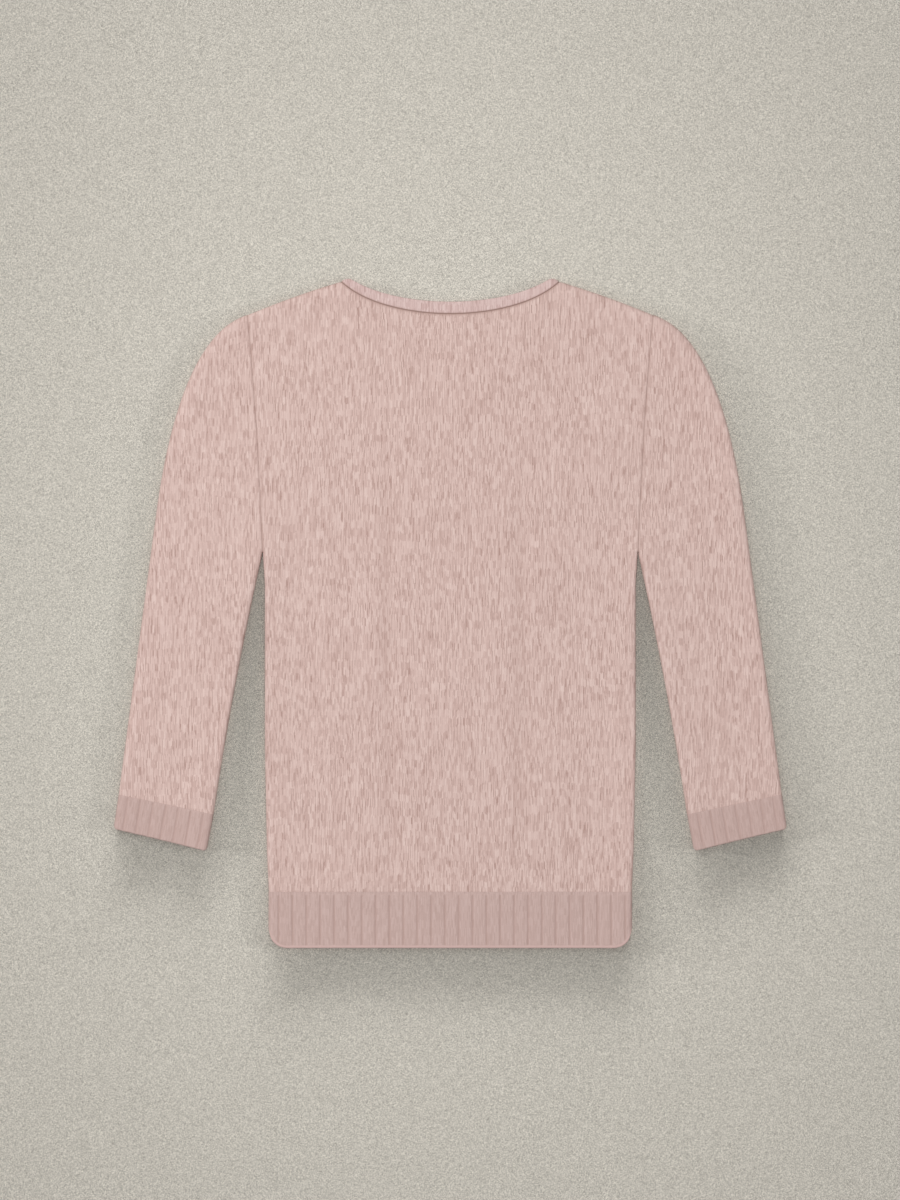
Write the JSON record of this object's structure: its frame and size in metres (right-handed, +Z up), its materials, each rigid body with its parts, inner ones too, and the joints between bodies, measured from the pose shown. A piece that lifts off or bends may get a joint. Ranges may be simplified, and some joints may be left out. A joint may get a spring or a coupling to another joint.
{
  "type": "crewneck sweater laid flat",
  "caption": "Long-sleeved crewneck sweater in fine heathered knit, laid flat front up, with ribbed hem and cuffs and a narrow neckband.",
  "frame": {"origin": "middle of the footprint's bounding box, on the surface that the sweater lies on", "axes": "+Z up through the flat layers from the back to the front; +Y up the garment, from the hem to the neck; +X across it, towards the wearer's left sleeve"},
  "size_m": [0.7062, 0.7042, 0.0084],
  "materials": {
    "body_knit": "fine heathered stocking-stitch knit in dusty pink, matt",
    "rib_knit": "ribbed knit in a slightly deeper dusty pink, matt",
    "neckband_knit": "the body's heathered knit, sewn on along a darker seam, matt"
  },
  "bodies": {
    "root": {"front_panel": "body_knit", "back_panel": "body_knit", "sleeve_left": "body_knit", "sleeve_right": "body_knit", "neckband": "neckband_knit", "hem_rib": "rib_knit", "cuff_left": "rib_knit", "cuff_right": "rib_knit"}
  },
  "joints": []
}
